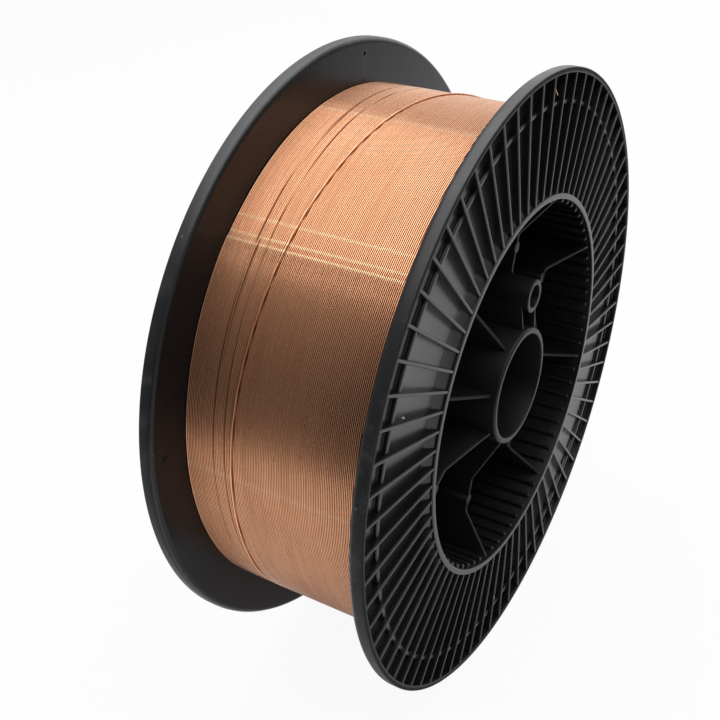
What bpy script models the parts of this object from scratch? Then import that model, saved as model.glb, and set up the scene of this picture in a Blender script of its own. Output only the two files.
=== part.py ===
"""Welding wire spool: one black moulded plastic spool with a coil of copper-coated wire on it.

Metres, +Z up. The spool stands on its two rims with its axle line along Y, and the
origin is on the floor, under the middle of the spool.
"""
import math

import bmesh
import bpy
from mathutils import Matrix, Vector

# Flanges
FLANGE_RADIUS = 0.150
SPOOL_WIDTH = 0.1044
FLANGE_THICKNESS = 0.0065
DISC_RECESS = 0.0036
RIM_WALL = 0.0029
RIM_LAND = 0.0034
RIM_FRONT_BEVEL = 0.0008
RIM_ROUND_RADIAL = 0.0030
RIM_ROUND_STEPS = 2

# Barrel that carries the wire, with its lip in each flange
BARREL_OUTER_RADIUS = 0.0943
BARREL_WALL = 0.0028
LIP_STEP = 0.0014
LIP_CONE_REACH = 0.0055
WEB_THICKNESS = 0.0025

# Radial ribs and the low ring that crosses them
RIB_COUNT = 72
RIB_THICKNESS = 0.0016
RIB_DRAFT = 0.80
RIB_TOP_GAP = 0.0002
RING_INSET = 0.0162
RING_WIDTH = 0.0026
RING_HEIGHT = 0.0020

# Hub
BORE_RADIUS = 0.0260
HUB_WALL = 0.0027
HUB_RECESS = 0.0020
HUB_BEVEL = 0.0004

# Spokes from the hub to the barrel
SPOKE_COUNT = 8
SPOKE_THICKNESS = 0.0018
SPOKE_FIRST_ANGLE = math.radians(25)
SPOKE_HUB_DEPTH = 0.0050
SPOKE_VALLEY_DEPTH = 0.0172
SPOKE_BARREL_DEPTH = 0.0016
VALLEY_INNER_RADIUS = 0.0540
VALLEY_OUTER_RADIUS = 0.0715
POST_RADIUS = 0.0028
POST_CENTRE = 0.0653
POST_PROUD = 0.0003

# Drive hole beside the bore, in a tube that two thin walls tie to the hub
DRIVE_ANGLE = math.radians(70)
DRIVE_CENTRE = 0.0445
DRIVE_HOLE_RADIUS = 0.0056
DRIVE_TUBE_WALL = 0.0026
DRIVE_RECESS = 0.0037
TIE_THICKNESS = 0.0015
TIE_SPACING = 0.0110
TIE_HUB_DEPTH = 0.0028
TIE_TUBE_DEPTH = 0.0049

# Small holes near the rim that hold the wire's end
WIRE_HOLE_RADIUS = 0.0015
WIRE_HOLE_INSET = 0.0070
WIRE_HOLE_ANGLES = (math.radians(82.5), math.radians(172.5))

# Coil of wire
WINDING_DEPTH = 0.0351
COIL_EDGE = 0.0004
SEAT_GAP = 0.0003

# Facets
TURN_STEPS = RIB_COUNT
HUB_STEPS = 36
TUBE_STEPS = 18
POST_STEPS = 8
HOLE_STEPS = 8
# How far a joined piece is sunk into its neighbour
SINK = 0.0006
# Corners flatter than this are shaded as one round surface
SMOOTH_LIMIT = math.radians(25)

HALF_WIDTH = SPOOL_WIDTH / 2
BARREL_INNER_RADIUS = BARREL_OUTER_RADIUS - BARREL_WALL
HUB_RADIUS = BORE_RADIUS + HUB_WALL
DRIVE_TUBE_RADIUS = DRIVE_HOLE_RADIUS + DRIVE_TUBE_WALL
FLOOR_HEIGHT = HALF_WIDTH - DISC_RECESS
WIRE_SIDE_HEIGHT = HALF_WIDTH - FLANGE_THICKNESS
RIM_INNER_RADIUS = FLANGE_RADIUS - RIM_WALL
RING_RADIUS = FLANGE_RADIUS - RING_INSET
WIRE_HOLE_CENTRE = FLANGE_RADIUS - WIRE_HOLE_INSET
COIL_RADIUS = BARREL_OUTER_RADIUS + SEAT_GAP + WINDING_DEPTH
HALF_FACET = math.pi / TURN_STEPS


def make_collection(name):
    collection = bpy.data.collections.new(name)
    bpy.context.scene.collection.children.link(collection)
    return collection


def make_material(name, colour, roughness, metallic):
    material = bpy.data.materials.new(name)
    material.use_nodes = True
    shader = material.node_tree.nodes["Principled BSDF"]
    shader.inputs["Base Color"].default_value = (*colour, 1.0)
    shader.inputs["Roughness"].default_value = roughness
    shader.inputs["Metallic"].default_value = metallic
    material.diffuse_color = (*colour, 1.0)
    return material


def make_object(name, bm, collection):
    mesh = bpy.data.meshes.new(name)
    bm.to_mesh(mesh)
    bm.free()
    piece = bpy.data.objects.new(name, mesh)
    collection.objects.link(piece)
    return piece


def mirrored_profile(upper_half):
    """Close a profile of (radius, height) points with its own mirror image below."""
    return upper_half + [(radius, -height) for radius, height in reversed(upper_half)]


def turned(name, profile, steps, collection, start_angle=0.0):
    """Turn a closed profile of (radius, height) points about Z."""
    bm = bmesh.new()
    ring = []
    for radius, height in profile:
        ring.append(bm.verts.new((radius * math.cos(start_angle), radius * math.sin(start_angle), height)))
    for first, second in zip(ring, ring[1:] + ring[:1]):
        bm.edges.new((first, second))
    piece = make_object(name, bm, collection)
    screw = piece.modifiers.new("turn", "SCREW")
    screw.axis = "Z"
    screw.angle = math.tau
    screw.steps = steps
    screw.render_steps = steps
    screw.use_merge_vertices = True
    screw.merge_threshold = 0.00001
    return piece


def elliptic_arc(centre, radial, axial, steps):
    """Quarter turn from the outermost point to the lowest one, as (radius, height) points."""
    points = []
    for step in range(steps + 1):
        angle = 0.5 * math.pi * step / steps
        points.append((centre[0] + radial * math.cos(angle), centre[1] - axial * math.sin(angle)))
    return points


def moulding_profile():
    """Web, barrel and flange from the hub outwards, then back along the wire side."""
    lip_outer = BARREL_OUTER_RADIUS
    land_top = HALF_WIDTH - RIM_FRONT_BEVEL
    land_bottom = land_top - RIM_LAND
    round_centre = (FLANGE_RADIUS - RIM_ROUND_RADIAL, land_bottom)
    upper_half = [
        (HUB_RADIUS - SINK, WEB_THICKNESS / 2),
        (BARREL_INNER_RADIUS, WEB_THICKNESS / 2),
        (BARREL_INNER_RADIUS, HALF_WIDTH),
        (lip_outer, HALF_WIDTH),
        (lip_outer, HALF_WIDTH - LIP_STEP),
        (lip_outer + LIP_CONE_REACH, FLOOR_HEIGHT),
        (RING_RADIUS - RING_WIDTH / 2, FLOOR_HEIGHT),
        (RING_RADIUS - RING_WIDTH / 2, FLOOR_HEIGHT + RING_HEIGHT),
        (RING_RADIUS + RING_WIDTH / 2, FLOOR_HEIGHT + RING_HEIGHT),
        (RING_RADIUS + RING_WIDTH / 2, FLOOR_HEIGHT),
        (RIM_INNER_RADIUS, FLOOR_HEIGHT),
        (RIM_INNER_RADIUS, HALF_WIDTH),
        (FLANGE_RADIUS - RIM_FRONT_BEVEL, HALF_WIDTH),
        (FLANGE_RADIUS, land_top),
    ]
    upper_half += elliptic_arc(round_centre, RIM_ROUND_RADIAL, land_bottom - WIRE_SIDE_HEIGHT, RIM_ROUND_STEPS)
    upper_half.append((BARREL_OUTER_RADIUS, WIRE_SIDE_HEIGHT))
    return mirrored_profile(upper_half)


def hub_profile():
    top = HALF_WIDTH - HUB_RECESS
    upper_half = [
        (BORE_RADIUS, top - HUB_BEVEL),
        (BORE_RADIUS + HUB_BEVEL, top),
        (HUB_RADIUS - HUB_BEVEL, top),
        (HUB_RADIUS, top - HUB_BEVEL),
    ]
    return mirrored_profile(upper_half)


def coil_profile():
    inner = BARREL_OUTER_RADIUS + SEAT_GAP
    top = WIRE_SIDE_HEIGHT - SEAT_GAP
    upper_half = [
        (inner, top),
        (COIL_RADIUS - COIL_EDGE, top),
        (COIL_RADIUS, top - COIL_EDGE),
    ]
    return mirrored_profile(upper_half)


def rib_tool(collection):
    """Every radial rib of both flanges, thinner at its top, sunk into rim, lip and disc."""
    inner = BARREL_OUTER_RADIUS - SINK
    outer = RIM_INNER_RADIUS + SINK
    bottom = FLOOR_HEIGHT - SINK
    top = HALF_WIDTH - RIB_TOP_GAP
    size = Vector((outer - inner, RIB_THICKNESS, top - bottom))
    centre = Vector(((outer + inner) / 2, 0, (top + bottom) / 2))
    bm = bmesh.new()
    for side in (1, -1):
        for number in range(RIB_COUNT):
            turn = Matrix.Rotation(math.tau * number / RIB_COUNT, 4, "Z")
            place = Matrix.Translation((centre.x, 0, side * centre.z))
            corners = bmesh.ops.create_cube(bm, size=1.0, matrix=place @ Matrix.Diagonal((*size, 1)))["verts"]
            top_corners = [corner for corner in corners if corner.co.z * side > centre.z]
            bmesh.ops.scale(bm, vec=(1, RIB_DRAFT, 1), verts=top_corners)
            bmesh.ops.transform(bm, matrix=turn, verts=corners)
    return make_object("rib_tool", bm, collection)


def plate(bm, outline, thickness, angle, offset=0.0):
    """A flat plate that stands on a radial line, from an outline of (radius, height) points."""
    corners = [bm.verts.new((radius, offset - thickness / 2, height)) for radius, height in outline]
    face = bm.faces.new(corners)
    grown = bmesh.ops.extrude_face_region(bm, geom=[face])["geom"]
    far_side = [item for item in grown if isinstance(item, bmesh.types.BMVert)]
    bmesh.ops.translate(bm, vec=(0, thickness, 0), verts=far_side)
    bmesh.ops.transform(bm, matrix=Matrix.Rotation(angle, 4, "Z"), verts=corners + far_side)


def spoke_outline(inner_radius):
    """Plate from near the hub to the barrel, with a valley cut into both edges."""
    outer_radius = BARREL_INNER_RADIUS + SINK
    slope = (SPOKE_VALLEY_DEPTH - SPOKE_HUB_DEPTH) / (VALLEY_INNER_RADIUS - HUB_RADIUS)
    inner_depth = min(SPOKE_HUB_DEPTH + slope * (inner_radius - HUB_RADIUS), SPOKE_VALLEY_DEPTH)
    valley_start = max(VALLEY_INNER_RADIUS, inner_radius + SINK)
    upper_half = [
        (inner_radius, HALF_WIDTH - inner_depth),
        (valley_start, HALF_WIDTH - SPOKE_VALLEY_DEPTH),
        (VALLEY_OUTER_RADIUS, HALF_WIDTH - SPOKE_VALLEY_DEPTH),
        (outer_radius, HALF_WIDTH - SPOKE_BARREL_DEPTH),
    ]
    return mirrored_profile(upper_half)


def tie_outline():
    upper_half = [
        (HUB_RADIUS - 2 * SINK, HALF_WIDTH - TIE_HUB_DEPTH),
        (DRIVE_CENTRE - DRIVE_TUBE_RADIUS / 2, HALF_WIDTH - TIE_TUBE_DEPTH),
    ]
    return mirrored_profile(upper_half)


def spoke_angles():
    return [SPOKE_FIRST_ANGLE + math.tau * number / SPOKE_COUNT for number in range(SPOKE_COUNT)]


def spoke_tool(collection):
    """The spokes. The one at the drive hole starts in the wall of its tube."""
    bm = bmesh.new()
    tube_side = DRIVE_CENTRE + DRIVE_TUBE_RADIUS - DRIVE_TUBE_WALL / 2
    for angle in spoke_angles():
        at_drive_hole = math.isclose(angle, DRIVE_ANGLE, abs_tol=0.01)
        inner_radius = tube_side if at_drive_hole else HUB_RADIUS - SINK
        plate(bm, spoke_outline(inner_radius), SPOKE_THICKNESS, angle)
    bmesh.ops.recalc_face_normals(bm, faces=bm.faces)
    return make_object("spoke_tool", bm, collection)


def tie_tool(collection):
    bm = bmesh.new()
    for side in (1, -1):
        plate(bm, tie_outline(), TIE_THICKNESS, DRIVE_ANGLE, side * TIE_SPACING / 2)
    bmesh.ops.recalc_face_normals(bm, faces=bm.faces)
    return make_object("tie_tool", bm, collection)


def upright_cylinders(name, centres, radius, length, steps, collection):
    """Cylinders along Z at (radius from the axis, angle) places."""
    bm = bmesh.new()
    for distance, angle in centres:
        place = Matrix.Rotation(angle, 4, "Z") @ Matrix.Translation((distance, 0, 0))
        bmesh.ops.create_cone(bm, cap_ends=True, segments=steps, radius1=radius, radius2=radius,
                              depth=length, matrix=place)
    return make_object(name, bm, collection)


def add_boolean(piece, tool, operation):
    modifier = piece.modifiers.new(tool.name, "BOOLEAN")
    modifier.operation = operation
    modifier.solver = "EXACT"
    modifier.object = tool
    tool.hide_render = True
    tool.display_type = "WIRE"


def shade_round(piece):
    """Apply the modifiers, then shade the round surfaces smooth and keep the corners crisp."""
    depsgraph = bpy.context.evaluated_depsgraph_get()
    mesh = bpy.data.meshes.new_from_object(piece.evaluated_get(depsgraph), depsgraph=depsgraph)
    piece.modifiers.clear()
    piece.data = mesh
    mesh.name = piece.name
    mesh.shade_smooth()
    mesh.set_sharp_from_angle(angle=SMOOTH_LIMIT)


def build_spool(parts, tools, material):
    """The one-piece moulding: barrel, web and flanges turned, the rest joined to them."""
    spool = turned("spool", moulding_profile(), TURN_STEPS, parts, HALF_FACET)
    spool.data.materials.append(material)
    hub = turned("hub_tool", hub_profile(), HUB_STEPS, tools)
    posts = upright_cylinders(
        "post_tool", [(POST_CENTRE, angle) for angle in spoke_angles()], POST_RADIUS,
        2 * (HALF_WIDTH - SPOKE_VALLEY_DEPTH + POST_PROUD), POST_STEPS, tools)
    drive_place = [(DRIVE_CENTRE, DRIVE_ANGLE)]
    drive_tube = upright_cylinders(
        "drive_tube_tool", drive_place, DRIVE_TUBE_RADIUS, 2 * (HALF_WIDTH - DRIVE_RECESS), TUBE_STEPS, tools)
    drive_hole = upright_cylinders(
        "drive_hole_tool", drive_place, DRIVE_HOLE_RADIUS, 2 * SPOOL_WIDTH, TUBE_STEPS, tools)
    wire_holes = upright_cylinders(
        "wire_hole_tool", [(WIRE_HOLE_CENTRE, angle) for angle in WIRE_HOLE_ANGLES], WIRE_HOLE_RADIUS,
        2 * SPOOL_WIDTH, HOLE_STEPS, tools)
    for tool in (rib_tool(tools), hub, spoke_tool(tools), tie_tool(tools), posts, drive_tube):
        add_boolean(spool, tool, "UNION")
    for tool in (drive_hole, wire_holes):
        add_boolean(spool, tool, "DIFFERENCE")
    shade_round(spool)
    return spool


def build_coil(parts, material):
    """The wound wire as one turned ring, seated between the flanges on the barrel."""
    coil = turned("wire_coil", coil_profile(), TURN_STEPS, parts, HALF_FACET)
    coil.data.materials.append(material)
    shade_round(coil)
    return coil


def stand_on_rims(objects, collection):
    """Lay the axle line along Y and lift it to the height at which a rim facet meets the floor."""
    axle = bpy.data.objects.new("axle_line", None)
    axle.location = (0, 0, FLANGE_RADIUS * math.cos(HALF_FACET))
    axle.rotation_euler = (math.radians(90), 0, 0)
    collection.objects.link(axle)
    for piece in objects:
        piece.parent = axle
    return axle


def clear_scene():
    for item in list(bpy.data.objects):
        bpy.data.objects.remove(item, do_unlink=True)


def main():
    clear_scene()
    parts = make_collection("welding_wire_spool")
    tools = make_collection("joined_shapes")
    plastic = make_material("black_plastic", (0.020, 0.021, 0.023), 0.42, 0.0)
    copper = make_material("copper_wire", (0.86, 0.48, 0.30), 0.34, 1.0)
    spool = build_spool(parts, tools, plastic)
    coil = build_coil(parts, copper)
    stand_on_rims([spool, coil] + list(tools.objects), parts)


main()
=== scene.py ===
"""Dresses a packed welding wire spool for a studio picture.

The spool is one black plastic moulding that stands on its two rims, with its axle line
along Y, and carries a close-wound coil of copper-coated wire.
"""
import math
import random

import bmesh
import bpy
from bpy.props import FloatProperty, FloatVectorProperty, IntProperty, PointerProperty
from mathutils import Matrix, Vector


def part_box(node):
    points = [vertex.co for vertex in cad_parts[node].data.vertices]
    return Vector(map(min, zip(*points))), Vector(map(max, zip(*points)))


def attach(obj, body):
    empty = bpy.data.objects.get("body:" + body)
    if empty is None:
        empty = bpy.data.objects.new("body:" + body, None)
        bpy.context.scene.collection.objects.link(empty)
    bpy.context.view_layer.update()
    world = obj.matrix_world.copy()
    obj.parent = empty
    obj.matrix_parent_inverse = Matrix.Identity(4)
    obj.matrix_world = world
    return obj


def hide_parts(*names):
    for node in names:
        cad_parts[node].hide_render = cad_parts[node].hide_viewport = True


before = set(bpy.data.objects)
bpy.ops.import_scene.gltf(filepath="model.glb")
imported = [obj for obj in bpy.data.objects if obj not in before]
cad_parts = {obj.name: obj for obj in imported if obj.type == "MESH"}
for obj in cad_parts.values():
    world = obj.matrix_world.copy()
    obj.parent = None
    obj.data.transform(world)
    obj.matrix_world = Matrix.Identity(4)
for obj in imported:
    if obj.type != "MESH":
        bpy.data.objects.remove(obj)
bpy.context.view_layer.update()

bl_info = {
    "name": "Welding Wire Spool",
    "version": (1, 0, 0),
    "blender": (4, 5, 0),
    "location": "View3D > Sidebar > Wire Spool",
    "description": "Builds a moulded plastic spool wound with copper-coated welding wire",
    "category": "Add Mesh",
}

SPOOL_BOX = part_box("spool")
COIL_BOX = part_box("wire_coil")
SPOOL_MIDDLE = (SPOOL_BOX[0] + SPOOL_BOX[1]) / 2
# Pieces are modelled about Z with the middle web at zero, then laid down with the axle line along Y
LAID_DOWN = Matrix.Translation(SPOOL_MIDDLE) @ Matrix.Rotation(math.radians(90), 4, "X")
# How far the looks stay inside the solid flange
INSIDE = 0.00001
# How deep a piece of the moulding reaches into the one that carries it. The ends of the flange ribs,
# the middle web and the tie walls have their own depths
SINK = 0.0004
END_SINK = 0.0003
WEB_SINK = 0.0006
TIE_SINK = 0.0012
# Slope of the lip's edge and of the rim's inner side, over their height
DRAFT = 0.0001


def length(name, default, description):
    return FloatProperty(name=name, default=default, description=description, min=0.0,
                         precision=5, unit="LENGTH", subtype="DISTANCE")


def angle(name, default, description):
    return FloatProperty(name=name, default=math.radians(default), description=description,
                         unit="ROTATION", subtype="ANGLE")


def colour(name, default, description):
    return FloatVectorProperty(name=name, default=default, description=description, size=3,
                               min=0.0, max=1.0, subtype="COLOR")


class MouldingSettings(bpy.types.PropertyGroup):
    """Sizes of the plastic moulding."""
    flange_radius: length("Flange radius", SPOOL_BOX[1].z - SPOOL_MIDDLE.z - INSIDE,
                          "Outer radius of both flanges")
    half_width: length("Half width", SPOOL_BOX[1].y, "From the middle web to the front of a rim")
    wire_side: length("Wire side", 0.0457, "From the middle web to a flange's inner face")
    floor_height: length("Disc height", 0.0486, "From the middle web to the floor between the ribs")
    rim_inner_radius: length("Rim inner radius", 0.1474, "Inner radius of the rim")
    rim_round: length("Rim round", 0.0027, "Fillet from the rim to a flange's inner face")
    barrel_radius: length("Barrel radius", 0.0943, "Outer radius of the barrel")
    bore_wall_radius: length("Barrel inner radius", 0.0915, "Inner radius of the barrel")
    web_thickness: length("Web thickness", 0.0025, "Thickness of the middle web")
    lip_step: length("Lip step", 0.0014, "Height of the lip above its cone")
    lip_reach: length("Lip reach", 0.0055, "From the barrel to where the lip's cone meets the disc")
    ring_radius: length("Ring radius", 0.1350, "Radius of the low ring that crosses the ribs")
    ring_foot: length("Ring foot", 0.0028, "Width of the low ring on the disc")
    ring_top: length("Ring top", 0.0022, "Width of the low ring at its top")
    ring_height: length("Ring height", 0.0018, "Height of the low ring above the disc")
    rib_count: IntProperty(name="Ribs", default=72, min=3, description="Radial ribs on each flange")
    rib_thickness: length("Rib thickness", 0.0016, "Thickness of a radial rib at its foot")
    rib_gap: length("Rib gap", 0.0002, "From a rib's top to the front of the rim")
    hub_bore: length("Hub bore", 0.0263, "Radius of the hub's bore")
    hub_radius: length("Hub radius", 0.0293, "Outer radius of the hub")
    hub_height: length("Hub height", 0.0502, "From the middle web to the hub's end")
    spoke_count: IntProperty(name="Spokes", default=8, min=2, description="Spokes from the hub to the barrel")
    first_spoke: angle("First spoke", 25, "Direction of the first spoke")
    spoke_thickness: length("Spoke thickness", 0.0018, "Thickness of a spoke")
    spoke_hub_depth: length("Spoke depth at the hub", 0.0050, "From the rim's front to a spoke's start")
    spoke_tube_depth: length("Spoke depth at the tube", 0.0159, "The same for the spoke at the drive tube")
    spoke_barrel_depth: length("Spoke depth at the barrel", 0.0016, "From the rim's front to a spoke's end")
    valley_depth: length("Valley depth", 0.0172, "From the rim's front to the low stretch of a spoke")
    valley_start: length("Valley start", 0.0540, "Where a spoke's low stretch starts, from the axle line")
    valley_end: length("Valley end", 0.0715, "Where a spoke's low stretch ends, from the axle line")
    pad_radius: length("Pad radius", 0.0028, "Radius of the round pad in each spoke")
    pad_centre: length("Pad distance", 0.0653, "From the axle line to a pad")
    pad_depth: length("Pad depth", 0.0169, "From the rim's front to a pad's end")
    drive_angle: angle("Drive hole direction", 70, "Direction of the drive hole from the axle line")
    drive_centre: length("Drive hole distance", 0.0445, "From the axle line to the drive hole")
    drive_hole: length("Drive hole radius", 0.0056, "Radius of the drive hole")
    drive_tube: length("Drive tube radius", 0.0082, "Outer radius of the tube round the drive hole")
    drive_depth: length("Drive tube depth", 0.0037, "From the rim's front to the drive tube's end")
    tie_thickness: length("Tie thickness", 0.0015, "Thickness of the two walls that tie the tube to the hub")
    tie_reach: length("Tie reach", 0.0404, "From the axle line to a tie's end in the tube's wall")
    barrel_rib_thickness: length("Barrel rib thickness", 0.0020, "Thickness of a barrel rib at its foot")
    barrel_rib_height: length("Barrel rib height", 0.0019, "From the barrel's inner side to a rib's crest")
    barrel_rib_depth: length("Barrel rib depth", 0.0016, "From the rim's front to a barrel rib's end")
    barrel_rib_dome: length("Barrel rib dome", 0.0009, "Length of the rounded end of a barrel rib")
    wire_hole_radius: length("Wire hole radius", 0.0015, "Radius of the small holes for the wire's end")
    wire_hole_centre: length("Wire hole distance", 0.1430, "From the axle line to a wire hole")


class WireSettings(bpy.types.PropertyGroup):
    """Sizes of the wound wire."""
    turns: IntProperty(name="Turns", default=113, min=4, description="Turns of wire in the outer layer")
    half_length: length("Half length", COIL_BOX[1].y, "From the middle of the coil to its end")
    radius: length("Coil radius", 0.1297, "Outer radius of the coil")
    inner_radius: length("Coil bore", 0.0947, "Inner radius of the coil")
    strand_radius: length("Strand radius", 0.0004, "Radius of one strand")


class FinishSettings(bpy.types.PropertyGroup):
    """Colours of the two materials."""
    plastic: colour("Plastic", (0.0078, 0.0080, 0.0088), "Black moulded plastic")
    # Also the tone of the painted highlight on the top of the rims' land
    scuff_and_highlight: colour("Scuffs", (0.095, 0.096, 0.102), "Rubbed edges of the rims")
    copper: colour("Copper", (0.97, 0.515, 0.298), "Copper coat of the wire")
    # Painted shade deep between the turns and along the lines over the coil
    groove_shade: colour("Groove", (0.12, 0.027, 0.009), "Copper between the turns")


class StageSettings(bpy.types.PropertyGroup):
    """Floor, lamps and camera."""
    floor: colour("Floor", (0.78, 0.78, 0.78), "Pale studio floor")
    room: colour("Room", (0.42, 0.42, 0.425), "Plain room round the floor")
    dim_side: colour("Dim side", (0.055, 0.055, 0.057), "The room's unlit side")
    lamp_radiance: FloatProperty(name="Lamp strength", default=2.0, min=0.0,
                                 description="Brightness of the soft box overhead")
    view_azimuth: angle("View azimuth", -61.837, "Camera's direction round the spool")
    view_elevation: angle("View elevation", 33.441, "Camera's height as an angle")
    view_roll: angle("View turn", 0.45, "Turn of the view about the axle line")
    view_distance: length("View distance", 0.48626, "From the camera to the middle of the spool")
    focal_length: FloatProperty(name="Focal length", default=48.16, min=1.0, unit="CAMERA",
                                description="Lens in millimetres")


# Shared modelling steps

def rounded(corners, steps=3):
    """Outline through (across, along, fillet) corners, each fillet made a short arc."""
    points = []
    for number, (across, along, fillet) in enumerate(corners):
        here = Vector((across, along))
        if not fillet:
            points.append(here)
            continue
        before = (Vector(corners[number - 1][:2]) - here).normalized()
        after = (Vector(corners[(number + 1) % len(corners)][:2]) - here).normalized()
        half = before.angle(after) / 2
        centre = here + (before + after).normalized() * fillet / math.sin(half)
        start = here + before * fillet / math.tan(half) - centre
        end = here + after * fillet / math.tan(half) - centre
        for step in range(steps + 1):
            points.append(centre + start.lerp(end, step / steps).normalized() * fillet)
    return points


def mirrored(upper_half):
    """Close (radius, height, fillet) corners with their own mirror image below."""
    return upper_half + [(radius, -height, fillet) for radius, height, fillet in reversed(upper_half)]


def turned(bm, outline, steps):
    """Spin a closed outline of (radius, height) points about the axle line."""
    ring = [bm.verts.new((point[0], 0.0, point[1])) for point in outline]
    edges = [bm.edges.new(pair) for pair in zip(ring, ring[1:] + ring[:1])]
    bmesh.ops.spin(bm, geom=ring + edges, cent=(0, 0, 0), axis=(0, 0, 1), dvec=(0, 0, 0),
                   angle=math.tau, steps=steps, use_merge=True, use_duplicate=False)


def grown(bm, face):
    """Extrude a face where it lies. Gives the new face and its corners, to be moved."""
    new = bmesh.ops.extrude_face_region(bm, geom=[face])["geom"]
    cap = next(item for item in new if isinstance(item, bmesh.types.BMFace))
    return cap, [item for item in new if isinstance(item, bmesh.types.BMVert)]


def extruded(bm, outline, start, end):
    """A bar along X from start to end, with its section given as (y, z) points."""
    face = bm.faces.new([bm.verts.new((start, point[0], point[1])) for point in outline])
    _, far_end = grown(bm, face)
    bmesh.ops.translate(bm, vec=(end - start, 0, 0), verts=far_end)


def repeated(bm, geometry, angles):
    """Copies of the geometry turned by each angle about the axle line. The first stays."""
    for turn in angles:
        copy = bmesh.ops.duplicate(bm, geom=geometry)["geom"]
        verts = [item for item in copy if isinstance(item, bmesh.types.BMVert)]
        bmesh.ops.rotate(bm, cent=(0, 0, 0), matrix=Matrix.Rotation(turn, 3, "Z"), verts=verts)


def both_sides(bm):
    """Mirror everything to the other flange."""
    bmesh.ops.mirror(bm, geom=bm.verts[:] + bm.edges[:] + bm.faces[:], matrix=Matrix.Identity(4),
                     merge_dist=0.0, axis="Z")


def placed(name, bm, material, node, smooth=35):
    """Lay the finished shape's axle line along Y, hang it on the root body and hide the CAD part."""
    bmesh.ops.recalc_face_normals(bm, faces=bm.faces)
    bmesh.ops.transform(bm, matrix=LAID_DOWN, verts=bm.verts)
    mesh = bpy.data.meshes.new(name)
    bm.to_mesh(mesh)
    bm.free()
    mesh.materials.append(material)
    mesh.shade_smooth()
    mesh.set_sharp_from_angle(angle=math.radians(smooth))
    piece = bpy.data.objects.new(name, mesh)
    bpy.context.scene.collection.objects.link(piece)
    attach(piece, "root")
    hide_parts(node)
    return piece


# Materials

class Nodes:
    """Short way to add and join shader nodes."""

    def __init__(self, owner):
        owner.use_nodes = True
        self.tree = owner.node_tree
        self.shader = self.tree.nodes.get("Principled BSDF") or self.tree.nodes["Background"]

    def add(self, kind, **values):
        node = self.tree.nodes.new(kind)
        for key, value in values.items():
            setattr(node, key, value)
        return node

    def join(self, source, target):
        self.tree.links.new(source, target)

    def fill(self, socket, value):
        """Give a socket a number, or join it to another node's output."""
        if isinstance(value, (int, float)):
            socket.default_value = value
        else:
            self.join(value, socket)

    def maths(self, operation, first, second=None, third=None, clamp=False):
        node = self.add("ShaderNodeMath", operation=operation, use_clamp=clamp)
        for socket, value in zip(node.inputs, (first, second, third)):
            if value is not None:
                self.fill(socket, value)
        return node.outputs[0]

    def spread(self, value, low, high, to_low=0.0, to_high=1.0):
        """Smooth rise from one number to another while the value goes from low to high."""
        node = self.add("ShaderNodeMapRange", clamp=True, interpolation_type="SMOOTHSTEP")
        self.join(value, node.inputs["Value"])
        for socket, number in zip(("From Min", "From Max", "To Min", "To Max"), (low, high, to_low, to_high)):
            node.inputs[socket].default_value = number
        return node.outputs[0]

    def noise(self, vector, scale, detail=3.0, roughness=0.5):
        node = self.add("ShaderNodeTexNoise")
        self.join(vector, node.inputs["Vector"])
        node.inputs["Scale"].default_value = scale
        node.inputs["Detail"].default_value = detail
        node.inputs["Roughness"].default_value = roughness
        return node.outputs["Fac"]

    def blend(self, factor, first, second):
        node = self.add("ShaderNodeMix", data_type="RGBA")
        self.join(factor, node.inputs["Factor"])
        colours = [socket for socket in node.inputs if socket.type == "RGBA"]
        for socket, value in zip(colours, (first, second)):
            if isinstance(value, tuple):
                socket.default_value = (*value, 1.0)
            else:
                self.join(value, socket)
        return next(socket for socket in node.outputs if socket.type == "RGBA")

    def place(self):
        """Object coordinates centred on the middle of the spool."""
        source = self.add("ShaderNodeTexCoord")
        centred = self.add("ShaderNodeMapping")
        centred.inputs["Location"].default_value = -SPOOL_MIDDLE
        self.join(source.outputs["Object"], centred.inputs["Vector"])
        return centred.outputs["Vector"]

    def polar(self, vector):
        """Radius from the axle line, direction in radians and place along the axle line."""
        parts = self.add("ShaderNodeSeparateXYZ")
        self.join(vector, parts.inputs[0])
        across, along, up = parts.outputs
        square = self.maths("ADD", self.maths("MULTIPLY", across, across), self.maths("MULTIPLY", up, up))
        return self.maths("SQRT", square), self.maths("ARCTAN2", up, across), along

    def vector(self, x, y, z):
        node = self.add("ShaderNodeCombineXYZ")
        for socket, value in zip(node.inputs, (x, y, z)):
            self.fill(socket, value)
        return node.outputs[0]

    def bump(self, height, strength, distance, normal=None):
        node = self.add("ShaderNodeBump")
        node.inputs["Strength"].default_value = strength
        node.inputs["Distance"].default_value = distance
        self.join(height, node.inputs["Height"])
        if normal is not None:
            self.join(normal, node.inputs["Normal"])
        return node.outputs[0]


# Flakes of copper that lie on the shown flange: place from the middle of the spool, and radius
COPPER_SPECKS = (((-0.1116, -0.0486, 0.0528), 0.0010), ((-0.0214, -0.0521, -0.1242), 0.0010))
SPECK_COLOUR = (0.85, 0.66, 0.50)
# Where a zone of the moulding starts and is full, in metres from the axle line or the middle web
RIM_LAND = (0.14935, 0.14965)
RIM_ZONE = (0.1465, 0.1488)
FRONT_ZONE = (0.0495, 0.0520)
CORE_ZONE = (0.0905, 0.0895)
WIRE_SIDE_ZONE = (0.0466, 0.0462)
# Where the land counts as the top of the spool, by the sine of its direction, for its painted highlight
TOP_ZONE = (0.55, 0.98)
# Share of scuffed plastic in the tone of each worn place, and of the painted highlight on the top of the land
LAND_WEAR = 0.15
RUBBED_WEAR = 0.30
LIT_TOP_HIGHLIGHT = 0.9
NICK_WEAR = 0.6
# The plain mirror strength, and how far that of each zone lies under it
PLAIN_GLOSS = 0.5
FRONT_DULL = 0.44
CORE_DULL = 0.25
SIDE_LAND_DULL = 0.38
WIRE_SIDE_DULL = 0.16


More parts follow.
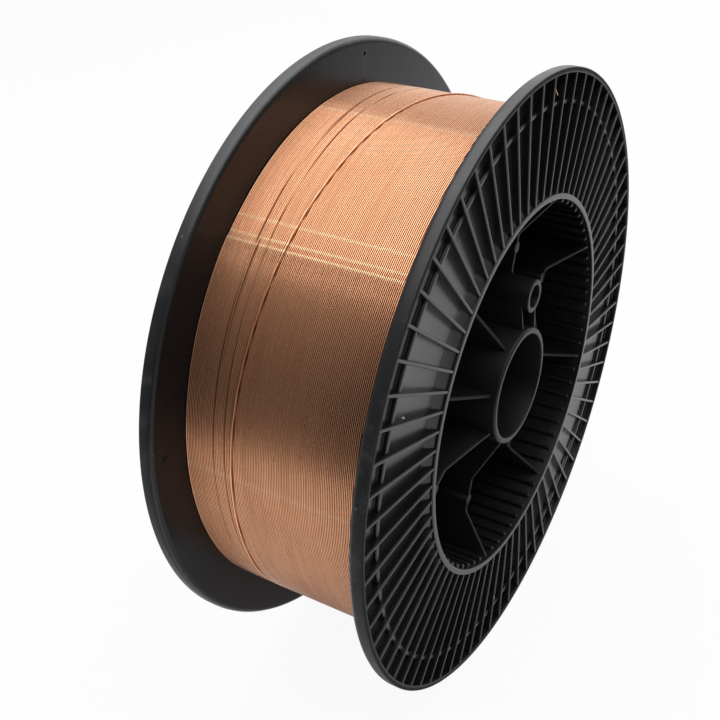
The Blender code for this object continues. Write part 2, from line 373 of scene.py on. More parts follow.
def rim_wear_and_highlight(nodes, place, along, land, at_rim, top):
    """Share of scuffed plastic: a worn land, rubbed patches and small nicks, with a painted highlight on the
    top of the land, more on the far flange.
    """
    edge = nodes.maths("MULTIPLY", at_rim, nodes.maths("MULTIPLY_ADD", land, 0.70, 0.15))
    patches = nodes.spread(nodes.noise(place, 95.0, 6.0, 0.65), 0.50, 0.72)
    rubbed = nodes.maths("MULTIPLY", edge, patches)
    # Painted highlight: paler on the top of the land, more on the far flange
    far_flange = nodes.spread(along, 0.0, 0.045, 0.25, 0.8)
    lit_top = nodes.maths("MULTIPLY", land, nodes.maths("MULTIPLY", top, far_flange))
    spots = nodes.add("ShaderNodeTexVoronoi")
    nodes.join(place, spots.inputs["Vector"])
    spots.inputs["Scale"].default_value = 110.0
    nick = nodes.maths("MULTIPLY", nodes.spread(spots.outputs["Distance"], 0.10, 0.04), at_rim)
    rubbed_wear = nodes.maths("MULTIPLY", rubbed, RUBBED_WEAR)
    wear_and_highlight = nodes.maths("ADD", nodes.maths("MULTIPLY", land, LAND_WEAR), rubbed_wear)
    wear_and_highlight = nodes.maths("MULTIPLY_ADD", lit_top, LIT_TOP_HIGHLIGHT, wear_and_highlight)
    return nodes.maths("MULTIPLY_ADD", nick, NICK_WEAR, wear_and_highlight, clamp=True)


def zone_gloss(nodes, outward, front, core, side_land):
    """Mirror strength, lower on the rims' fronts and side lands, in the core and on the wire side."""
    wire_side = nodes.maths("MULTIPLY", nodes.spread(outward, *WIRE_SIDE_ZONE), WIRE_SIDE_DULL)
    dulled = nodes.maths("MULTIPLY_ADD", front, FRONT_DULL, nodes.maths("MULTIPLY", core, CORE_DULL))
    dulled = nodes.maths("MULTIPLY_ADD", side_land, SIDE_LAND_DULL, dulled)
    return nodes.maths("SUBTRACT", PLAIN_GLOSS, nodes.maths("MAXIMUM", dulled, wire_side))


def black_plastic(finish):
    """Satin black moulding with flow streaks, rims rubbed paler on their outer land, and a painted highlight
    on the top of the land.
    """
    material = bpy.data.materials.new("black_moulded_plastic")
    nodes = Nodes(material)
    place = nodes.place()
    radius, direction, along = nodes.polar(place)
    outward = nodes.maths("ABSOLUTE", along)

    land = nodes.spread(radius, *RIM_LAND)
    at_rim = nodes.spread(radius, *RIM_ZONE)
    rim_front = nodes.maths("MULTIPLY", at_rim, nodes.spread(outward, *FRONT_ZONE))
    front = nodes.maths("MULTIPLY", rim_front, nodes.maths("SUBTRACT", 1.0, land))
    core = nodes.spread(radius, *CORE_ZONE)
    top = nodes.spread(nodes.maths("SINE", direction), *TOP_ZONE)
    side_land = nodes.maths("MULTIPLY", land, nodes.maths("SUBTRACT", 1.0, top))

    wear_and_highlight = rim_wear_and_highlight(nodes, place, along, land, at_rim, top)
    # Scuffed tone where worn, and a painted highlight on the top of the land
    tone = nodes.blend(wear_and_highlight, tuple(finish.plastic), tuple(finish.scuff_and_highlight))
    for speck, size in COPPER_SPECKS:
        away = nodes.add("ShaderNodeVectorMath", operation="DISTANCE")
        nodes.join(place, away.inputs[0])
        away.inputs[1].default_value = speck
        tone = nodes.blend(nodes.spread(away.outputs["Value"], size, size * 0.6), tone, SPECK_COLOUR)
    nodes.join(tone, nodes.shader.inputs["Base Color"])

    round_about = nodes.maths("MULTIPLY", direction, 34.0)
    flow = nodes.vector(round_about, nodes.maths("MULTIPLY", radius, 28.0), along)
    streaks = nodes.noise(flow, 1.0, 4.0, 0.55)
    roughness = nodes.maths("MULTIPLY_ADD", wear_and_highlight, 0.30, nodes.spread(streaks, 0.3, 0.7, 0.23, 0.27))
    roughness = nodes.maths("MULTIPLY_ADD", front, 0.28, roughness)
    roughness = nodes.maths("MULTIPLY_ADD", core, 0.12, roughness)
    nodes.join(roughness, nodes.shader.inputs["Roughness"])
    nodes.shader.inputs["IOR"].default_value = 1.5
    gloss = nodes.shader.inputs["Specular IOR Level"]
    gloss.default_value = 0.4
    nodes.join(zone_gloss(nodes, outward, front, core, side_land), gloss)

    grain = nodes.noise(place, 1500.0, 2.0, 0.5)
    shrink = nodes.noise(place, 60.0, 2.0, 0.5)
    flowing = nodes.bump(nodes.maths("MULTIPLY_ADD", streaks, 0.5, shrink), 0.05, 0.0010)
    nodes.join(nodes.bump(grain, 0.10, 0.00025, flowing), nodes.shader.inputs["Normal"])
    return material


# Painted shade along open seams between turns, the last line a painted shadow beside the crossing
# strand: half width in metres, then directions in degrees with places along the axle line in metres
SHADE_LINES = (
    (0.00034, ((60, 0.0225), (76, 0.0229), (96, 0.0243), (116, 0.0249), (132, 0.0254), (150, 0.0256),
               (205, 0.0257))),
    (0.00030, ((88, 0.0291), (96, 0.0294), (132, 0.0300), (170, 0.0304))),
    (0.00030, ((70, 0.0301), (96, 0.0303), (116, 0.0308), (132, 0.0312), (176, 0.0313), (210, 0.0313))),
    (0.00032, ((85, 0.0063), (96, 0.0090), (116, 0.0131), (132, 0.0164), (146, 0.01855), (163, 0.0208),
               (176, 0.0218), (196, 0.0231), (214, 0.0243))),
)
# Length along the axle line that a line's curve covers, in metres, and how dark its painted shade is
SHADE_LINE_SPAN = 0.1
SHADE_LINE_DARKNESS = 0.92
# Where turns step over in a line across the coil: direction in degrees, width of the rise in degrees
# and share of the whole step
KINKS = ((98.0, 1.3, 0.35), (128.0, 0.40, 0.70), (131.4, 0.34, 0.85), (132.8, 0.34, 1.0), (176.0, 0.8, 0.35))
KINK_TOTAL = sum(share for _, _, share in KINKS)
# A kink's fall and how far it strays from turn to turn, in degrees, and its height in metres
KINK_FALL = 3.0
KINK_STRAY = 0.5
KINK_HEIGHT = 0.00014
# Colour of the painted highlight along the kinks
GLINT_COLOUR = (1.0, 0.74, 0.48)
# Darker turns have this share of the coat's red, green and blue
WORN_SHADE = (0.86, 0.80, 0.76)


def painted_line_shade(nodes, half_width, line, turned_by, along):
    """Painted shade: one where a line runs, fading out at its ends."""
    curve = nodes.add("ShaderNodeFloatCurve")
    points = curve.mapping.curves[0].points
    places = [(math.radians(turn) / math.tau, (place + SHADE_LINE_SPAN / 2) / SHADE_LINE_SPAN) for turn, place in line]
    points[0].location = (0.0, places[0][1])
    points[1].location = (1.0, places[-1][1])
    for place in places:
        points.new(*place)
    curve.mapping.update()
    nodes.join(nodes.maths("DIVIDE", turned_by, math.tau), curve.inputs["Value"])
    middle = nodes.maths("MULTIPLY_ADD", curve.outputs[0], SHADE_LINE_SPAN, -SHADE_LINE_SPAN / 2)
    aside = nodes.maths("ABSOLUTE", nodes.maths("SUBTRACT", along, middle))
    first, last = math.radians(line[0][0]), math.radians(line[-1][0])
    fade_in = nodes.spread(turned_by, first, first + 0.25)
    fade_out = nodes.spread(turned_by, last, last - 0.35)
    shade = nodes.spread(aside, half_width, half_width * 0.55)
    return nodes.maths("MULTIPLY", shade, nodes.maths("MULTIPLY", fade_in, fade_out))


def kink_lines(nodes, turn, turned_by):
    """Height of the wire at its kinks, and how far it glints there."""
    shift = nodes.noise(nodes.vector(nodes.maths("MULTIPLY", turn, 3.7), 0.0, 0.0), 1.0, 1.0)
    strayed = nodes.maths("MULTIPLY_ADD", shift, math.radians(KINK_STRAY), turned_by)
    kinks = glints = 0.0
    for middle, width, share in KINKS:
        past = nodes.maths("SUBTRACT", strayed, math.radians(middle + KINK_STRAY / 2))
        width = math.radians(width)
        rise = nodes.spread(past, -width, 0.0)
        fall = nodes.spread(past, math.radians(KINK_FALL), 0.0, 0.0, share)
        kinks = nodes.maths("ADD", nodes.maths("MULTIPLY", rise, fall), kinks)
        glint = nodes.spread(nodes.maths("ABSOLUTE", past), width, width * 0.3, 0.0, share)
        glints = nodes.maths("MAXIMUM", glint, glints)
    return kinks, glints


def copper_wire(finish, wire):
    """Drawn wire with a copper coat: each turn a little different, with painted shade deep between turns and
    along a few lines over the coil, and a painted highlight on the kinks.
    """
    material = bpy.data.materials.new("copper_coated_wire")
    nodes = Nodes(material)
    place = nodes.place()
    _, direction, along = nodes.polar(place)
    turned_by = nodes.maths("FLOORED_MODULO", direction, math.tau)

    pitch = 2 * wire.half_length / wire.turns
    turn = nodes.maths("FLOOR", nodes.maths("DIVIDE", nodes.maths("ADD", along, wire.half_length), pitch))
    stretch = nodes.vector(nodes.maths("MULTIPLY", turn, 7.31), nodes.maths("MULTIPLY", direction, 1.3), 0.0)
    per_turn = nodes.noise(stretch, 1.0, 2.0)
    clouds = nodes.noise(place, 26.0, 4.0, 0.6)
    mixed = nodes.maths("ADD", nodes.maths("MULTIPLY", per_turn, 0.55), nodes.maths("MULTIPLY", clouds, 0.45))

    worn = tuple(channel * shade for channel, shade in zip(finish.copper, WORN_SHADE))
    coat = nodes.blend(nodes.spread(mixed, 0.34, 0.62), worn, tuple(finish.copper))
    kinks, glints = kink_lines(nodes, turn, turned_by)
    # Painted highlight where the kinks glint
    coat = nodes.blend(nodes.maths("MULTIPLY", glints, 0.75), coat, GLINT_COLOUR)
    # Painted shade: darker between the turns, and along the lines over the coil
    painted_shade = nodes.add("ShaderNodeAttribute", attribute_name="groove_shade").outputs["Fac"]
    # Painted shade along the seams, and a painted shadow beside the crossing strand
    for half_width, line in SHADE_LINES:
        line_shade = painted_line_shade(nodes, half_width, line, turned_by, along)
        painted_shade = nodes.maths("MAXIMUM", painted_shade, nodes.maths("MULTIPLY", line_shade, SHADE_LINE_DARKNESS))
    nodes.join(nodes.blend(painted_shade, coat, tuple(finish.groove_shade)), nodes.shader.inputs["Base Color"])
    nodes.shader.inputs["Metallic"].default_value = 1.0
    nodes.join(nodes.spread(mixed, 0.3, 0.7, 0.30, 0.22), nodes.shader.inputs["Roughness"])

    stepped = nodes.bump(kinks, 1.0, KINK_HEIGHT)
    lines = nodes.vector(nodes.maths("MULTIPLY", direction, 9.0), nodes.maths("MULTIPLY", along, 9000.0), 0.0)
    drawn = nodes.noise(lines, 1.0, 2.0)
    nodes.join(nodes.bump(drawn, 0.12, 0.00004, stepped), nodes.shader.inputs["Normal"])
    return material


# Pieces of the moulding

def moulding_corners(size):
    """Web, barrel, lip, disc, ring and rim from the hub outwards, then back along the wire side."""
    web = size.web_thickness / 2
    front = size.half_width
    floor = size.floor_height
    ring = size.ring_radius
    ring_foot, ring_top = size.ring_foot / 2, size.ring_top / 2
    return mirrored([
        (size.hub_radius - WEB_SINK, web, 0),
        (size.bore_wall_radius, web, 0.0012),
        (size.bore_wall_radius, front, 0.0004),
        (size.barrel_radius, front, 0.0005),
        (size.barrel_radius + DRAFT, front - size.lip_step, 0.0003),
        (size.barrel_radius + size.lip_reach, floor, 0.0020),
        (ring - ring_foot, floor, 0.0003),
        (ring - ring_top, floor + size.ring_height, 0.0007),
        (ring + ring_top, floor + size.ring_height, 0.0007),
        (ring + ring_foot, floor, 0.0003),
        (size.rim_inner_radius - DRAFT, floor, 0.0006),
        (size.rim_inner_radius, front, 0.0003),
        (size.flange_radius, front, 0.0005),
        (size.flange_radius, size.wire_side, size.rim_round),
        (size.barrel_radius, size.wire_side, 0),
    ])


# Direction in degrees, side of the middle web and share of the hole's radius
WIRE_HOLES = ((82.5, 1, 1.0), (172.5, 1, 1.0), (81.3, -1, 0.62), (172.5, -1, 1.0))
# Length of the drill, which passes one flange alone, in metres
DRILL_LENGTH = 0.03


def wire_hole_drill(size):
    """A bar through each small hole, to be cut out of the flanges."""
    bm = bmesh.new()
    for turn, side, share in WIRE_HOLES:
        middle = Matrix.Translation((size.wire_hole_centre, 0, side * size.floor_height))
        radius = size.wire_hole_radius * share
        bmesh.ops.create_cone(bm, cap_ends=True, segments=24, radius1=radius, radius2=radius,
                              depth=DRILL_LENGTH, matrix=Matrix.Rotation(math.radians(turn), 4, "Z") @ middle)
    bmesh.ops.transform(bm, matrix=LAID_DOWN, verts=bm.verts)
    mesh = bpy.data.meshes.new("wire_hole_drill")
    bm.to_mesh(mesh)
    bm.free()
    return bpy.data.objects.new("wire_hole_drill", mesh)


class SPOOL_OT_moulding(bpy.types.Operator):
    """Turn the web, barrel and both flanges, with the holes for the wire's end"""
    bl_idname = "wire_spool.moulding"
    bl_label = "Barrel and Flanges"

    def execute(self, context):
        size = context.scene.spool_moulding
        bm = bmesh.new()
        turned(bm, rounded(moulding_corners(size), 4), 288)
        piece = placed("spool_moulding", bm, bpy.data.materials["black_moulded_plastic"], "spool")
        drill = wire_hole_drill(size)
        context.scene.collection.objects.link(drill)
        cut = piece.modifiers.new("wire_holes", "BOOLEAN")
        cut.operation = "DIFFERENCE"
        cut.object = drill
        depsgraph = context.evaluated_depsgraph_get()
        drilled = bpy.data.meshes.new_from_object(piece.evaluated_get(depsgraph), depsgraph=depsgraph)
        piece.modifiers.clear()
        piece.data = drilled
        drilled.name = "spool_moulding"
        drilled.set_sharp_from_angle(angle=math.radians(35))
        bpy.data.objects.remove(drill)
        return {"FINISHED"}


# Thickness of a rib at its top as a share of that at its foot
RIB_DRAFT = 0.92


class SPOOL_OT_flange_ribs(bpy.types.Operator):
    """Radial ribs of both flanges, with a rounded top"""
    bl_idname = "wire_spool.flange_ribs"
    bl_label = "Flange Ribs"

    def execute(self, context):
        size = context.scene.spool_moulding
        foot = size.rib_thickness / 2
        brow = foot * RIB_DRAFT
        floor = size.floor_height - SINK
        top = size.half_width - size.rib_gap
        section = rounded([(-foot, floor, 0), (-brow, top, 0.0005), (brow, top, 0.0005), (foot, floor, 0)], 4)
        bm = bmesh.new()
        extruded(bm, section, size.barrel_radius - END_SINK, size.rim_inner_radius + END_SINK)
        repeated(bm, bm.verts[:] + bm.edges[:] + bm.faces[:],
                 [math.tau * number / size.rib_count for number in range(1, size.rib_count)])
        both_sides(bm)
        placed("flange_ribs", bm, bpy.data.materials["black_moulded_plastic"], "spool", 50)
        return {"FINISHED"}


def plate(bm, outline, thickness, turn, offset=0.0, edge=0.0005):
    """A plate that stands along a radial line, with all its edges rounded."""
    near = [bm.verts.new((radius, offset - thickness / 2, height)) for radius, height in outline]
    _, far = grown(bm, bm.faces.new(near))
    bmesh.ops.translate(bm, vec=(0, thickness, 0), verts=far)
    bmesh.ops.rotate(bm, cent=(0, 0, 0), matrix=Matrix.Rotation(turn, 3, "Z"), verts=near + far)
    rims = [line for side in (near, far) for vert in side for line in vert.link_edges
            if line.other_vert(vert) in side]
    bmesh.ops.bevel(bm, geom=list(dict.fromkeys(rims)), offset=edge, offset_type="OFFSET", segments=3,
                    profile=0.5, affect="EDGES", material=-1, clamp_overlap=True)


def upright(bm, outline, centre, turn, steps):
    """A turned post or tube whose own axis stands at a distance from the axle line."""
    part = bmesh.new()
    turned(part, outline, steps)
    bmesh.ops.translate(part, vec=(centre, 0, 0), verts=part.verts)
    bmesh.ops.rotate(part, cent=(0, 0, 0), matrix=Matrix.Rotation(turn, 3, "Z"), verts=part.verts)
    loose = bpy.data.meshes.new("part")
    part.to_mesh(loose)
    part.free()
    bm.from_mesh(loose)
    bpy.data.meshes.remove(loose)


def spoke_outline(size, turn):
    """Side view of a spoke, low in its middle. The one at the drive hole starts in the tube's wall."""
    top = size.half_width
    start, start_depth = size.hub_radius - SINK, size.spoke_hub_depth
    if abs(turn - size.drive_angle) < 0.01:
        start = size.drive_centre + (size.drive_hole + size.drive_tube) / 2
        start_depth = size.spoke_tube_depth
    return rounded(mirrored([
        (start, top - start_depth, 0),
        (size.valley_start, top - size.valley_depth, 0.0030),
        (size.valley_end, top - size.valley_depth, 0.0030),
        (size.bore_wall_radius + SINK, top - size.spoke_barrel_depth, 0),
    ]), 2)


# The two tie walls: distance to the side of the drive hole's radial line, and depths under the rim's
# front at the hub and at the tube, in metres
TIES = ((-0.0062, 0.0028, 0.0049), (0.0062, 0.0038, 0.0070))


class SPOOL_OT_core(bpy.types.Operator):
    """Hub, spokes with their pads, and the drive tube with its tie walls"""
    bl_idname = "wire_spool.core"
    bl_label = "Hub and Spokes"

    def execute(self, context):
        size = context.scene.spool_moulding
        top = size.half_width
        bm = bmesh.new()
        turned(bm, rounded(mirrored([(size.hub_bore, size.hub_height, 0.0005),
                                     (size.hub_radius, size.hub_height, 0.0012)])), 144)
        pad_end = top - size.pad_depth
        pad = rounded(mirrored([(0.0, pad_end, 0), (size.pad_radius, pad_end, 0.0003)]), 2)
        for number in range(size.spoke_count):
            turn = size.first_spoke + math.tau * number / size.spoke_count
            plate(bm, spoke_outline(size, turn), size.spoke_thickness, turn)
            upright(bm, pad, size.pad_centre, turn, 32)
        tube_end = top - size.drive_depth
        tube = rounded(mirrored([(size.drive_hole, tube_end, 0.0004), (size.drive_tube, tube_end, 0.0005)]))
        upright(bm, tube, size.drive_centre, size.drive_angle, 64)
        for offset, hub_depth, tube_depth in TIES:
            tie = rounded(mirrored([(size.hub_radius - TIE_SINK, top - hub_depth, 0),
                                    (size.tie_reach, top - tube_depth, 0)]))
            plate(bm, tie, size.tie_thickness, size.drive_angle, offset, 0.0004)
        bmesh.ops.remove_doubles(bm, verts=bm.verts, dist=0.000001)
        placed("spool_core", bm, bpy.data.materials["black_moulded_plastic"], "spool", 40)
        return {"FINISHED"}


# Thickness of a barrel rib at its crest as a share of that at its foot
BARREL_RIB_DRAFT = 0.9
# Bends of a barrel rib's rounded end, in degrees, from its sides to its tip
DOME_BENDS = (0, 25, 50, 70, 84)


class SPOOL_OT_barrel_ribs(bpy.types.Operator):
    """Slim ribs along the inside of the barrel, between the spokes"""
    bl_idname = "wire_spool.barrel_ribs"
    bl_label = "Barrel Ribs"

    def execute(self, context):
        size = context.scene.spool_moulding
        wall = size.bore_wall_radius
        start = size.web_thickness / 2 - SINK
        end = size.half_width - size.barrel_rib_depth
        dome = size.barrel_rib_dome
        at_foot = Matrix.Translation((-wall - SINK, 0, 0))
        foot = size.barrel_rib_thickness / 2
        brow = foot * BARREL_RIB_DRAFT
        crest = wall - size.barrel_rib_height
        section = rounded([(-foot, wall + SINK, 0), (-brow, crest, 0.00085), (brow, crest, 0.00085),
                           (foot, wall + SINK, 0)], 4)
        bm = bmesh.new()
        cap, tip = grown(bm, bm.faces.new([bm.verts.new((point[1], point[0], start)) for point in section]))
        bmesh.ops.translate(bm, vec=(0, 0, end - dome - start), verts=tip)
        bends = [math.radians(bend) for bend in DOME_BENDS]
        for before, bend in zip(bends, bends[1:]):
            cap, tip = grown(bm, cap)
            narrow = math.cos(bend) / math.cos(before)
            bmesh.ops.scale(bm, vec=(narrow, narrow, 1), space=at_foot, verts=tip)
            bmesh.ops.translate(bm, vec=(0, 0, dome * (math.sin(bend) - math.sin(before))), verts=tip)
        spokes = [round(math.degrees(size.first_spoke + math.tau * number / size.spoke_count)) % 360
                  for number in range(size.spoke_count)]
        step = 360 // size.rib_count
        turns = [math.radians(turn) for turn in range(step, 360, step) if turn not in spokes]
        repeated(bm, bm.verts[:] + bm.edges[:] + bm.faces[:], turns)
        both_sides(bm)
        placed("barrel_ribs", bm, bpy.data.materials["black_moulded_plastic"], "spool", 50)
        return {"FINISHED"}


# Pieces of wire

# The last strand over the coil: direction in degrees, place along the axle line in metres. It dives
# between the turns where it starts
CROSSING_STRAND = ((214, 0.0250), (205, 0.0245), (196, 0.0238), (176, 0.0225), (163, 0.0215), (146, 0.01925),
                   (132, 0.0171), (116, 0.0138), (96, 0.0097), (76, 0.0042), (55, -0.0020), (20, -0.0130),
                   (-20, -0.0260), (-60, -0.0372), (-95, -0.0436), (-115, -0.0449))
START_DIVE = 0.0009
# Its last run beside the near flange: direction in degrees and height over the coil in metres
LAST_RUN = ((-150, 0.0), (-200, 0.0), (-245, 0.0002), (-258, 0.0030), (-270, 0.0091))
LAST_RUN_PLACE = 0.04495
# The wire's end through its hole: direction in degrees, drop under the hole's middle line and
# distance from the middle web in metres
WIRE_END = ((82.5, 0.0007, 0.0452), (82.5, 0.0007, 0.0470), (82.5, 0.0007, 0.0484), (82.45, 0.0010, 0.0491),
            (82.3, 0.0018, 0.0496), (82.1, 0.0028, 0.0500), (81.8, 0.0038, 0.0502), (81.5, 0.0045, 0.0502))
# Radius of the wire's end as a share of the strand's
WIRE_END_SLIM = 0.45
# Height of the crossing strand's middle over the coil, as a share of its radius
STRAND_RISE = 0.75
# Turns farther than this from the middle web run straight round
STRAIGHT_FROM = 0.0452
# Share of the pitch that a turn steps over at its kinks, and how much lower a turn can lie, in metres
STEP_SHARE = 0.9
CREST_STRAY = 0.00003
# Directions in degrees between which the coil has one step a degree, and its steps elsewhere
FINE_START = 95
FINE_SPAN = 41
COARSE_STEPS = 150


def step_over(vert, pitch):
    """Lead a vertex of the coil along its turn, which steps over at the kinks."""
    turn = math.degrees(math.atan2(vert.co.y, vert.co.x)) % 360
    step = -turn / 360
    for place, half_width, share in KINKS:
        across = max(0.0, min(1.0, (turn - place + half_width) / (2 * half_width)))
        step += share / KINK_TOTAL * (across * across * (3 - 2 * across))
    if abs(vert.co.z) < STRAIGHT_FROM:
        vert.co.z -= pitch * step * STEP_SHARE


def coil_outline(wire, pitch):
    """Points of (radius, height, share of painted shade between turns), with one ridge for each turn of the
    outer layer.
    """
    strand = pitch / 2
    chance = random.Random(7)
    points = [(wire.inner_radius, -wire.half_length, 0.0)]
    for number in range(wire.turns):
        middle = -wire.half_length + (number + 0.5) * pitch
        crest = wire.radius - strand - chance.random() * CREST_STRAY
        for bend in (-90, -45, 0, 45):
            aside = math.sin(math.radians(bend))
            height = middle + strand * aside
            points.append((crest + strand * math.cos(math.radians(bend)), height, aside ** 2))
    points.append((wire.radius - strand, wire.half_length, 1.0))
    points.append((wire.inner_radius, wire.half_length, 0.0))
    return points


class SPOOL_OT_wound_wire(bpy.types.Operator):
    """The coil: one ridge for each turn of the outer layer"""
    bl_idname = "wire_spool.wound_wire"
    bl_label = "Wound Wire"

    def execute(self, context):
        wire = context.scene.spool_wire
        pitch = 2 * wire.half_length / wire.turns
        start = math.radians(FINE_START)
        bm = bmesh.new()
        # Share of painted shade at each point, full deep between two turns
        groove_shade = bm.verts.layers.float.new("groove_shade")
        ring = []
        for radius, height, depth in coil_outline(wire, pitch):
            vert = bm.verts.new((radius * math.cos(start), radius * math.sin(start), height))
            vert[groove_shade] = depth
            ring.append(vert)
        edges = [bm.edges.new(pair) for pair in zip(ring, ring[1:] + ring[:1])]
        finer = bmesh.ops.spin(bm, geom=ring + edges, cent=(0, 0, 0), axis=(0, 0, 1), dvec=(0, 0, 0),
                               angle=math.radians(FINE_SPAN), steps=FINE_SPAN, use_merge=False,
                               use_duplicate=False)
        bmesh.ops.spin(bm, geom=finer["geom_last"], cent=(0, 0, 0), axis=(0, 0, 1), dvec=(0, 0, 0),
                       angle=math.radians(360 - FINE_SPAN), steps=COARSE_STEPS, use_merge=False,
                       use_duplicate=False)
        bmesh.ops.remove_doubles(bm, verts=bm.verts, dist=0.00002)
        for vert in bm.verts:
            step_over(vert, pitch)
        placed("wound_wire", bm, bpy.data.materials["copper_coated_wire"], "wire_coil", 60)
        return {"FINISHED"}


def strand_along(name, points, radius, material, slim):
    """A strand of wire through the points, slimmer over the last ones, as a mesh with closed ends."""
    curve = bpy.data.curves.new(name, "CURVE")
    curve.dimensions = "3D"
    curve.bevel_depth = radius
    curve.bevel_resolution = 3
    curve.use_fill_caps = True
    spline = curve.splines.new("POLY")
    spline.points.add(len(points) - 1)
    for target, point in zip(spline.points, points):
        target.co = (*point, 1.0)
    for target in spline.points[-slim:]:
        target.radius = WIRE_END_SLIM
    route = bpy.data.objects.new(name, curve)
    bpy.context.scene.collection.objects.link(route)
    depsgraph = bpy.context.evaluated_depsgraph_get()
    mesh = bpy.data.meshes.new_from_object(route.evaluated_get(depsgraph), depsgraph=depsgraph)
    bpy.data.objects.remove(route)
    bm = bmesh.new()
    bm.from_mesh(mesh)
    bpy.data.meshes.remove(mesh)
    bmesh.ops.remove_doubles(bm, verts=bm.verts, dist=0.00001)
    return placed(name, bm, material, "wire_coil", 60)


def smooth_route(points, steps):
    """Points along a smooth curve through the given ones."""
    route = []
    for number in range(len(points) - 1):
        before = points[max(number - 1, 0)]
        first, second = points[number], points[number + 1]
        after = points[min(number + 2, len(points) - 1)]
        slope = second - before
        bend = 2 * before - 5 * first + 4 * second - after
        twist = 3 * first - before - 3 * second + after
        for step in range(steps):
            t = step / steps
            route.append(0.5 * (2 * first + slope * t + bend * t * t + twist * t * t * t))
    route.append(points[-1])
    return route


def round_the_axle(turn, radius, height):
    """The point at a direction, a distance from the axle line and a height over the middle web."""
    return Vector((radius * math.cos(turn), radius * math.sin(turn), height))


class SPOOL_OT_loose_strands(bpy.types.Operator):
    """The last strand that crosses the coil, and the wire's end in its hole"""
    bl_idname = "wire_spool.loose_strands"
    bl_label = "Crossing Strand and Wire End"

    def execute(self, context):
        wire = context.scene.spool_wire
        size = context.scene.spool_moulding
        copper = bpy.data.materials["copper_coated_wire"]
        rest = wire.radius + wire.strand_radius * STRAND_RISE
        flat = [Vector((math.radians(turn), rest, -place)) for turn, place in CROSSING_STRAND]
        flat[0].y -= START_DIVE
        flat += [Vector((math.radians(turn), rest + lift, LAST_RUN_PLACE)) for turn, lift in LAST_RUN]
        points = [round_the_axle(point.x, point.y, point.z) for point in smooth_route(flat, 12)]
        turn_out = [round_the_axle(math.radians(turn), size.wire_hole_centre - drop, height)
                    for turn, drop, height in WIRE_END]
        end = smooth_route([points[-1]] + turn_out, 6)[1:]
        strand_along("crossing_strand", points + end, wire.strand_radius, copper, len(end))
        return {"FINISHED"}


# Stage

# Half sizes of the floor along X and Y and its shift along X, in metres
FLOOR_HALF_SIZE = (1.9, 3.0)
FLOOR_SHIFT = 1.28
# How far the floor shows as white to the camera, and to mirroring and see-through surfaces
WHITE_TO_CAMERA = 0.93
WHITE_TO_MIRRORS = 0.15
# X of the direction where the room starts to dim and where it is dim in full
UNLIT_SIDE = (-0.60, -1.0)
# Soft boxes: name, place and size in metres, and share of the lamp strength
SOFT_BOXES = (
    ("overhead_box", (0.05, 0.0, 1.50), (1.8, 2.2), 1.0),
    ("right_box", (1.7, 0.2, 0.9), (1.6, 1.4), 0.40),
)
# The photograph's width and height in pixels, and the pixel that the lens looks straight at
FRAME_SIZE = 720
LENS_PIXEL = (428.92, 359.21)


def studio_floor(stage):
    """Pale floor that keeps the spool's shadow and shows as white."""
    material = bpy.data.materials.new("studio_floor")
    nodes = Nodes(material)
    nodes.shader.inputs["Base Color"].default_value = (*stage.floor, 1.0)
    nodes.shader.inputs["Roughness"].default_value = 0.9
    rays = nodes.add("ShaderNodeLightPath")
    mirrored_rays = nodes.maths("MAXIMUM", rays.outputs["Is Glossy Ray"], rays.outputs["Is Transmission Ray"])
    seen = nodes.maths("MULTIPLY", mirrored_rays, WHITE_TO_MIRRORS)
    seen = nodes.maths("MULTIPLY_ADD", rays.outputs["Is Camera Ray"], WHITE_TO_CAMERA, seen)
    white = nodes.add("ShaderNodeEmission")
    white.inputs["Strength"].default_value = 1.0
    mix = nodes.add("ShaderNodeMixShader")
    nodes.join(seen, mix.inputs[0])
    nodes.join(nodes.shader.outputs[0], mix.inputs[1])
    nodes.join(white.outputs[0], mix.inputs[2])
    nodes.join(mix.outputs[0], nodes.tree.nodes["Material Output"].inputs["Surface"])
    return material


def studio_room(scene, stage):
    """A plain room whose left side is unlit."""
    scene.world = bpy.data.worlds.new("studio_room")
    nodes = Nodes(scene.world)
    look = nodes.add("ShaderNodeTexCoord")
    parts = nodes.add("ShaderNodeSeparateXYZ")
    nodes.join(look.outputs["Generated"], parts.inputs[0])
    unlit = nodes.spread(parts.outputs[0], *UNLIT_SIDE)
    nodes.join(nodes.blend(unlit, tuple(stage.room), tuple(stage.dim_side)), nodes.shader.inputs["Color"])
    nodes.shader.inputs["Strength"].default_value = 1.0


def soft_box(name, place, aim, size, radiance):
    """An area lamp at a place, turned towards a point."""
    lamp = bpy.data.lights.new(name, "AREA")
    lamp.shape = "RECTANGLE"
    lamp.size, lamp.size_y = size
    lamp.energy = radiance * math.pi * size[0] * size[1]
    piece = bpy.data.objects.new(name, lamp)
    piece.location = place
    piece.rotation_euler = (Vector(aim) - Vector(place)).to_track_quat("-Z", "Y").to_euler()
    bpy.context.scene.collection.objects.link(piece)


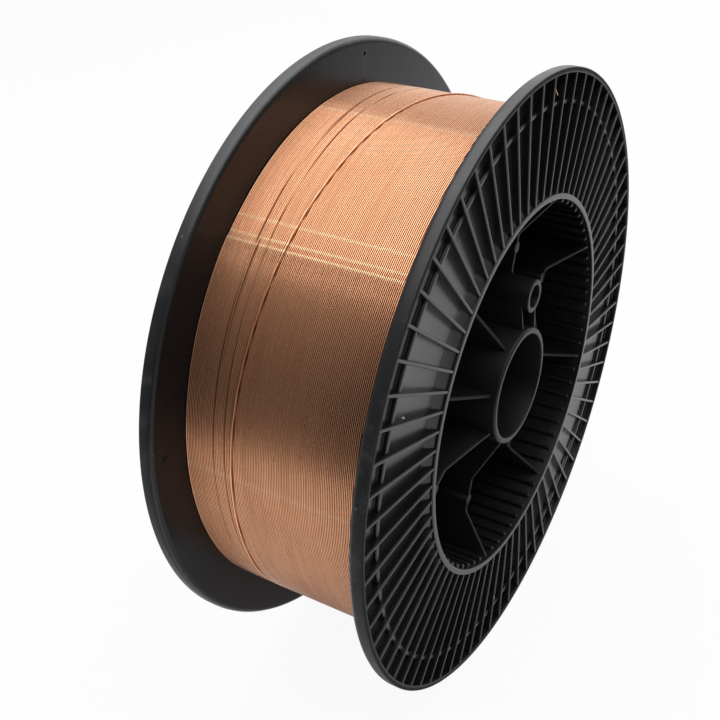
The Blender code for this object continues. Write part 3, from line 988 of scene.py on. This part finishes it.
class SPOOL_OT_stage(bpy.types.Operator):
    """Floor, soft boxes and the camera"""
    bl_idname = "wire_spool.stage"
    bl_label = "Studio"

    def execute(self, context):
        stage = context.scene.spool_stage
        bm = bmesh.new()
        bmesh.ops.create_grid(bm, x_segments=1, y_segments=1, size=1.0)
        bmesh.ops.scale(bm, vec=(*FLOOR_HALF_SIZE, 1), verts=bm.verts)
        bmesh.ops.translate(bm, vec=(FLOOR_SHIFT, 0, 0), verts=bm.verts)
        mesh = bpy.data.meshes.new("floor")
        bm.to_mesh(mesh)
        bm.free()
        mesh.materials.append(studio_floor(stage))
        floor = bpy.data.objects.new("floor", mesh)
        context.scene.collection.objects.link(floor)

        for name, place, size, share in SOFT_BOXES:
            soft_box(name, place, SPOOL_MIDDLE, size, stage.lamp_radiance * share)
        studio_room(context.scene, stage)

        lens = bpy.data.cameras.new("studio_camera")
        lens.sensor_width = 36.0
        lens.lens = stage.focal_length
        lens.shift_x = (FRAME_SIZE / 2 - LENS_PIXEL[0]) / FRAME_SIZE
        lens.shift_y = (LENS_PIXEL[1] - FRAME_SIZE / 2) / FRAME_SIZE
        lens.clip_start = 0.01
        camera = bpy.data.objects.new("studio_camera", lens)
        azimuth, elevation = stage.view_azimuth, stage.view_elevation
        back = Vector((math.sin(azimuth) * math.cos(elevation), -math.cos(azimuth) * math.cos(elevation),
                       math.sin(elevation)))
        right = Vector((math.cos(azimuth), math.sin(azimuth), 0))
        axes = Matrix((right, back.cross(right), back)).transposed()
        nudge = Matrix.Rotation(-stage.view_roll, 3, "Y")
        stand = Matrix.Translation(SPOOL_MIDDLE + nudge @ back * stage.view_distance)
        camera.matrix_world = stand @ (nudge @ axes).to_4x4()
        context.scene.collection.objects.link(camera)
        context.scene.camera = camera
        context.scene.view_settings.view_transform = "Standard"
        return {"FINISHED"}


class SPOOL_PT_panel(bpy.types.Panel):
    """Builds the spool piece by piece"""
    bl_idname = "SPOOL_PT_panel"
    bl_label = "Welding Wire Spool"
    bl_space_type = "VIEW_3D"
    bl_region_type = "UI"
    bl_category = "Wire Spool"

    def draw(self, context):
        for operator in OPERATORS:
            self.layout.operator(operator.bl_idname)
        for group in GROUPS:
            settings = getattr(context.scene, group)
            box = self.layout.box()
            for name in settings.__annotations__:
                box.prop(settings, name)


GROUPS = {
    "spool_moulding": MouldingSettings,
    "spool_wire": WireSettings,
    "spool_finish": FinishSettings,
    "spool_stage": StageSettings,
}
OPERATORS = (
    SPOOL_OT_moulding,
    SPOOL_OT_flange_ribs,
    SPOOL_OT_core,
    SPOOL_OT_barrel_ribs,
    SPOOL_OT_wound_wire,
    SPOOL_OT_loose_strands,
    SPOOL_OT_stage,
)


def register():
    for group in GROUPS.values():
        bpy.utils.register_class(group)
    for name, group in GROUPS.items():
        setattr(bpy.types.Scene, name, PointerProperty(type=group))
    for operator in OPERATORS:
        bpy.utils.register_class(operator)
    bpy.utils.register_class(SPOOL_PT_panel)


def unregister():
    bpy.utils.unregister_class(SPOOL_PT_panel)
    for operator in reversed(OPERATORS):
        bpy.utils.unregister_class(operator)
    for name in GROUPS:
        delattr(bpy.types.Scene, name)
    for group in GROUPS.values():
        bpy.utils.unregister_class(group)


def main():
    register()
    scene = bpy.context.scene
    black_plastic(scene.spool_finish)
    copper_wire(scene.spool_finish, scene.spool_wire)
    bpy.ops.wire_spool.moulding()
    bpy.ops.wire_spool.flange_ribs()
    bpy.ops.wire_spool.core()
    bpy.ops.wire_spool.barrel_ribs()
    bpy.ops.wire_spool.wound_wire()
    bpy.ops.wire_spool.loose_strands()
    bpy.ops.wire_spool.stage()


if __name__ == "__main__":
    main()
